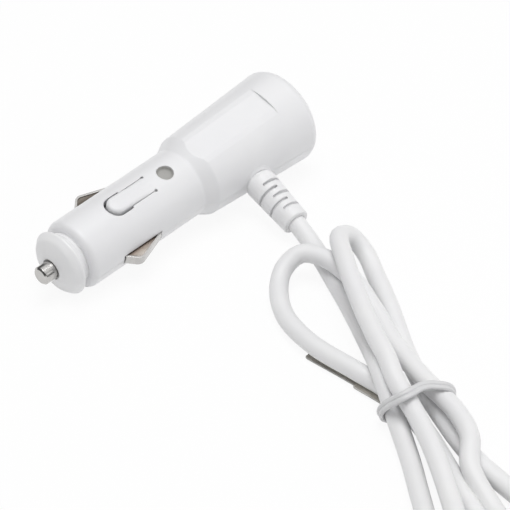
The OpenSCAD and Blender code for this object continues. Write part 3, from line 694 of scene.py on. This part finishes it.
white = {  # grain, flow and edge are sizes in millimetres, specks are spacing, size and colour
    "colour": (0.80, 0.80, 0.81), "tone": (0.775, 0.775, 0.79), "paintedEdgeColour": (0.84, 0.84, 0.84),
    "roughness": 0.34, "spread": 0.08, "grain": 0.3, "flow": 18.0, "edge": 0.45, "bump": 0.12,
    "specks": (16.0, 0.008, (0.3, 0.29, 0.27))}
finishes = {  # by the slots of the frame's record
    "housing_plastic": plastic("housingPlastic", white),
    # painted light: the cap's white is lighter than the housing's to brighten its face, which gets less light
    "cap_plastic": plastic("capPlastic", {
        **white, "roughness": 0.42,
        "colour": (0.84, 0.84, 0.845), "tone": (0.82, 0.82, 0.83)}),
    "lead_plastic": plastic("leadPlastic", {
        **white, "roughness": 0.46, "edge": 0.2,
        "colour": (0.82, 0.82, 0.82), "tone": (0.79, 0.79, 0.80)}),
    "tie_plastic": plastic("tiePlastic", {
        **white, "roughness": 0.4, "grain": 0.15, "flow": 2.0, "edge": 0.1, "bump": 0.2,
        "colour": (0.69, 0.69, 0.695), "tone": (0.64, 0.64, 0.65), "paintedEdgeColour": (0.72, 0.72, 0.72)}),
    "window_plastic": plastic("windowPlastic", {
        **white, "roughness": 0.55, "edge": 0.2,
        "colour": (0.385, 0.38, 0.365), "tone": (0.35, 0.345, 0.33), "paintedEdgeColour": (0.42, 0.42, 0.41)}),
    "black_plastic": plastic("blackPlastic", {
        **white,
        "colour": (0.02, 0.02, 0.02), "tone": (0.03, 0.03, 0.03), "paintedEdgeColour": (0.06, 0.06, 0.06)}),
    "board": plastic("boardMask", {
        **white,
        "colour": (0.01, 0.10, 0.03), "tone": (0.02, 0.14, 0.05), "paintedEdgeColour": (0.3, 0.3, 0.15)}),
    "ferrite": plastic("ferriteCore", {
        **white, "roughness": 0.7,
        "colour": (0.04, 0.04, 0.04), "tone": (0.07, 0.06, 0.06), "paintedEdgeColour": (0.12, 0.12, 0.12)}),
    "capacitor_sleeve": plastic("capacitorSleeve", {
        **white,
        "colour": (0.02, 0.03, 0.05), "tone": (0.03, 0.04, 0.07), "paintedEdgeColour": (0.1, 0.1, 0.12)}),
    "clear_plastic": plastic("lampBody", {**white, "roughness": 0.2, "colour": (0.7, 0.72, 0.7)}),
    "wire_sheath": plastic("wireSheath", {
        **white,
        "colour": (0.4, 0.02, 0.015), "tone": (0.3, 0.02, 0.01), "paintedEdgeColour": (0.5, 0.05, 0.04)}),
    "glass": plastic("fuseGlass", {
        **white, "roughness": 0.05, "spread": 0.02, "transmission": 1.0,
        "colour": (0.92, 0.96, 0.95), "tone": (0.9, 0.94, 0.93), "paintedEdgeColour": (0.8, 0.88, 0.86)}),
    "plated_metal": metal("platedMetal", {
        "colour": (0.57, 0.56, 0.545), "tone": (0.5, 0.49, 0.48), "paintedEdgeColour": (0.68, 0.67, 0.65),
        "roughness": 0.18, "spread": 0.1, "grain": 0.2, "flow": 3.0, "edge": 0.15, "bump": 0.15}),
    "spring_steel": metal("springSteel", {
        "colour": (0.5, 0.5, 0.51), "tone": (0.4, 0.4, 0.41), "paintedEdgeColour": (0.6, 0.6, 0.6),
        "roughness": 0.3, "spread": 0.1, "grain": 0.1, "flow": 2.0, "edge": 0.05, "bump": 0.15}),
    "gold_plate": metal("goldPlate", {
        "colour": (0.9, 0.6, 0.2), "tone": (0.8, 0.5, 0.15), "paintedEdgeColour": (0.95, 0.75, 0.4),
        "roughness": 0.2, "spread": 0.1, "grain": 0.1, "flow": 2.0, "edge": 0.05, "bump": 0.1}),
}

# the tie's loose ends, a brownish core between grey rims, both darker than the tie's turns: painted shade from the
# left loop lying over them
tieStrip = plastic("tieStrip", {
    **white, "roughness": 0.4, "grain": 0.1, "flow": 1.5, "edge": 0.1, "bump": 0.3,
    "colour": (0.5, 0.49, 0.47), "tone": (0.42, 0.41, 0.39), "paintedEdgeColour": (0.62, 0.61, 0.59)})
tieCore = plastic("tieCore", {
    **white, "roughness": 0.35, "grain": 0.1, "flow": 1.5, "edge": 0.1, "bump": 0.3,
    "colour": (0.5, 0.475, 0.43), "tone": (0.36, 0.34, 0.3), "paintedEdgeColour": (0.55, 0.53, 0.49)})

# floors of the side contacts with painted shade towards the barrel, the far one darker all over: painted shade
webLook = {
    "colour": (0.45, 0.415, 0.38), "tone": (0.38, 0.345, 0.31), "paintedEdgeColour": (0.5, 0.47, 0.43),
    "roughness": 0.4, "spread": 0.1, "grain": 0.2, "flow": 3.0, "edge": 0.1, "bump": 0.2,
    "paintedShade": (9.9, 12.3, (0.17, 0.12, 0.09))}  # where it starts to fade, where it ends and its colour
cordWebMetal = metal("cordWebMetal", webLook)
farWebMetal = metal("farWebMetal", {
    **webLook, "colour": (0.22, 0.2, 0.18), "tone": (0.15, 0.135, 0.12),
    "paintedShade": (10.0, 13.0, (0.06, 0.05, 0.04))})

# every CAD node gets the finish of its slot
slotOfNode = {part["node"]: part["material_slot"] for part in frame["record"]["subparts"]}
for name, obj in cadNodes.items():
    slots = obj.data.materials
    if not slots:
        slots.append(None)
    for index in range(len(slots)):
        slots[index] = finishes[slotOfNode[name]]
print("finishes made")


def dress(piece, body, slotName, finish=None):
    piece.data.materials.append(finish or finishes[slotName])
    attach(piece, body)


dress(leadPiece, "housing", "lead_plastic")
dress(tiePiece, "housing", "tie_plastic")
dress(lampLens, "housing", "window_plastic")
dress(reliefRoot, "housing", "housing_plastic")
dress(farWeb, "far_contact", "plated_metal", farWebMetal)
dress(cordWeb, "cord_contact", "plated_metal", cordWebMetal)
tiePiece.data.materials.append(tieCore)
tiePiece.data.materials.append(tieStrip)
coreIndex, stripIndex = 1, 2  # their places after the turns' own finish
for polygon in tiePiece.data.polygons[firstStripFace:]:
    polygon.material_index = stripIndex
# painted shade: the core faces get the darker core finish
for index in coreFaces(firstStripFace, tieStrips):
    tiePiece.data.polygons[index].material_index = coreIndex
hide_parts("cord_lead", "cord_left_loop", "cord_right_loop", "cord_tail", "cord_hank")
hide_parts("cord_tie")
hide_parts("lamp_window")

# floor, world and lamps
studio = {
    "floorSize": 3.0,
    "floorDrop": 0.01,  # millimetres below the object
    "floorGrey": 0.9,
    "shadowShare": 0.09,  # how much of the floor is really lit, the rest is plain white
    "worldFill": 0.52,
    "skyTop": 1.0,  # what glossy surfaces see overhead, and near the horizon
    "skyLow": 0.1,
    "skyBand": (0.45, 0.8),  # height of the change between them, as the sine of the elevation
    "lampTarget": (0, -40, 0),
    "lamps": [
        {"name": "overhead", "place": (0, -40, 900), "size": 0.6, "power": 4.25},
        {"name": "side", "place": (590, -630, 337), "size": 0.6, "power": 1.1}],
}


def rayKind(tree, *kinds):
    # node and socket that give 1 for rays of the named kinds
    path = addNode(tree, "LightPath")
    node, socket = path, kinds[0]
    for kind in kinds[1:]:
        either = addNode(tree, "Math", operation="MAXIMUM")
        wire(tree, node, either, socket, 0)
        wire(tree, path, either, kind, 1)
        node, socket = either, 0
    return node, socket


def makeFloor():
    half = studio["floorSize"] / 2 / mm
    floor = meshPiece("floor", [(-half, -half, 0), (half, -half, 0), (half, half, 0), (-half, half, 0)],
                      [(0, 1, 2, 3)], False)
    floor.location.z = -studio["floorDrop"] * mm
    material = bpy.data.materials.new("floorWhite")
    material.use_nodes = True
    tree = material.node_tree
    tree.nodes.clear()
    grey = studio["floorGrey"]
    lit = addNode(tree, "BsdfDiffuse", {"Color": (grey, grey, grey, 1)})
    plain = addNode(tree, "Emission", {"Color": (1, 1, 1, 1), "Strength": 1.0})
    share = addNode(tree, "Math", {1: 1 - studio["shadowShare"]}, operation="MULTIPLY")
    seen, socket = rayKind(tree, "Is Camera Ray", "Is Glossy Ray", "Is Transmission Ray")
    wire(tree, seen, share, socket)
    mix = addNode(tree, "MixShader")
    wire(tree, share, mix)
    wire(tree, lit, mix, 0, 1)
    wire(tree, plain, mix, 0, 2)
    output = addNode(tree, "OutputMaterial")
    wire(tree, mix, output)
    floor.data.materials.append(material)


def makeWorld():
    world = bpy.data.worlds.new("studio")
    scene.world = world
    world.use_nodes = True
    tree = world.node_tree
    tree.nodes.clear()
    fill = addNode(tree, "Background", {"Color": (1, 1, 1, 1), "Strength": studio["worldFill"]})
    plain = addNode(tree, "Background", {"Color": (1, 1, 1, 1), "Strength": 1.0})
    sky = addNode(tree, "Background", {"Color": (1, 1, 1, 1)})
    way = addNode(tree, "TexCoord")
    parts = addNode(tree, "SeparateXYZ")
    wire(tree, way, parts, "Generated")
    low, high = studio["skyBand"]
    height = addNode(tree, "MapRange", {
        "From Min": low, "From Max": high,
        "To Min": studio["skyLow"], "To Max": studio["skyTop"]}, interpolation_type="SMOOTHSTEP")
    wire(tree, parts, height, "Z", "Value")
    wire(tree, height, sky, 0, "Strength")
    mirrored = addNode(tree, "MixShader")
    wire(tree, rayKind(tree, "Is Glossy Ray")[0], mirrored, "Is Glossy Ray")
    wire(tree, fill, mirrored, 0, 1)
    wire(tree, sky, mirrored, 0, 2)
    mix = addNode(tree, "MixShader")
    seen, socket = rayKind(tree, "Is Camera Ray", "Is Transmission Ray")
    wire(tree, seen, mix, socket)
    wire(tree, mirrored, mix, 0, 1)
    wire(tree, plain, mix, 0, 2)
    output = addNode(tree, "OutputWorld")
    wire(tree, mix, output)


def makeLamp(spec):
    data = bpy.data.lights.new(spec["name"], "AREA")
    data.shape = "DISK"
    data.size = spec["size"]
    data.energy = spec["power"]
    lamp = bpy.data.objects.new(spec["name"], data)
    scene.collection.objects.link(lamp)
    aim(lamp, spec["place"], studio["lampTarget"])


makeFloor()
makeWorld()
for spec in studio["lamps"]:
    makeLamp(spec)
print("studio lit")
